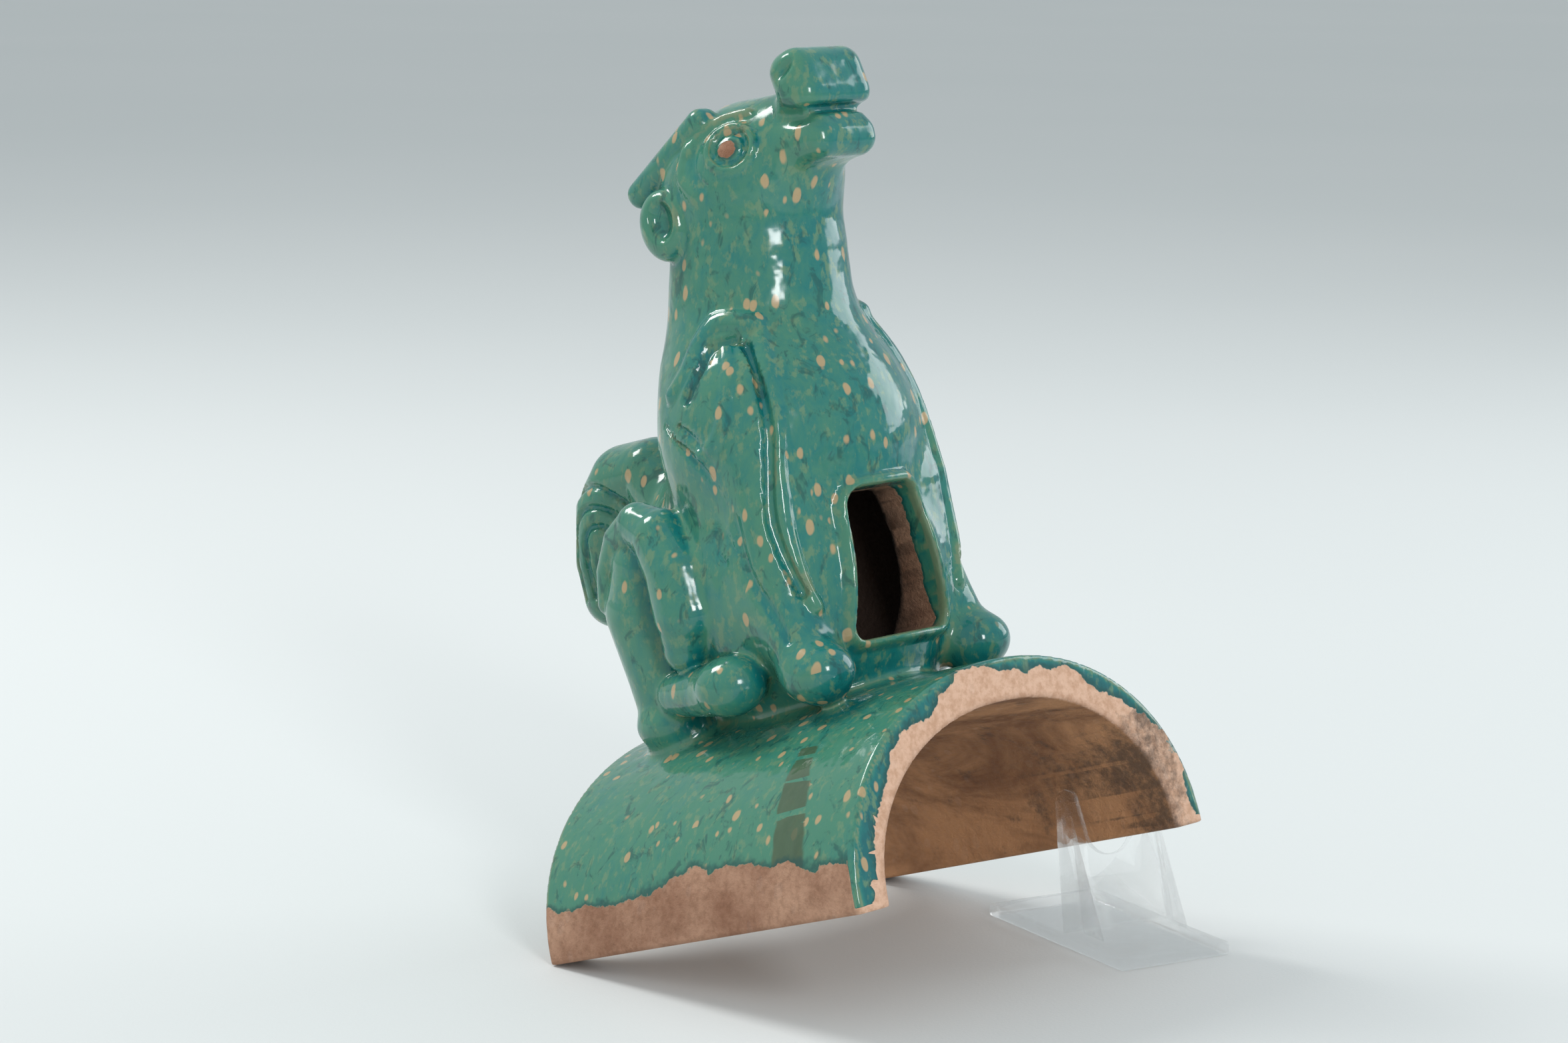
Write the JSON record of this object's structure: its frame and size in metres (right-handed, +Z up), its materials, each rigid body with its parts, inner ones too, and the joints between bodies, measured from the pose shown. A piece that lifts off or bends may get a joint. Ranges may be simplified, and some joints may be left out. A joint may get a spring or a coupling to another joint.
{
  "type": "ridge beast ornament",
  "caption": "Half-round glazed ridge tile with a hollow seated beast on its crown, tipped up at the front on a small clear display stand",
  "frame": {"origin": "centre of the footprint, at the surface the ornament stands on", "axes": "+X across the tile, -Y where the beast looks, +Z up"},
  "size_m": [0.1838, 0.207, 0.2838],
  "materials": {
    "turquoise_glaze": "glossy fired glaze over red-buff clay",
    "clear_acrylic": "clear moulded acrylic"
  },
  "bodies": {
    "root": {"ridge_tile_beast": "turquoise_glaze", "display_stand": "clear_acrylic"}
  },
  "joints": []
}
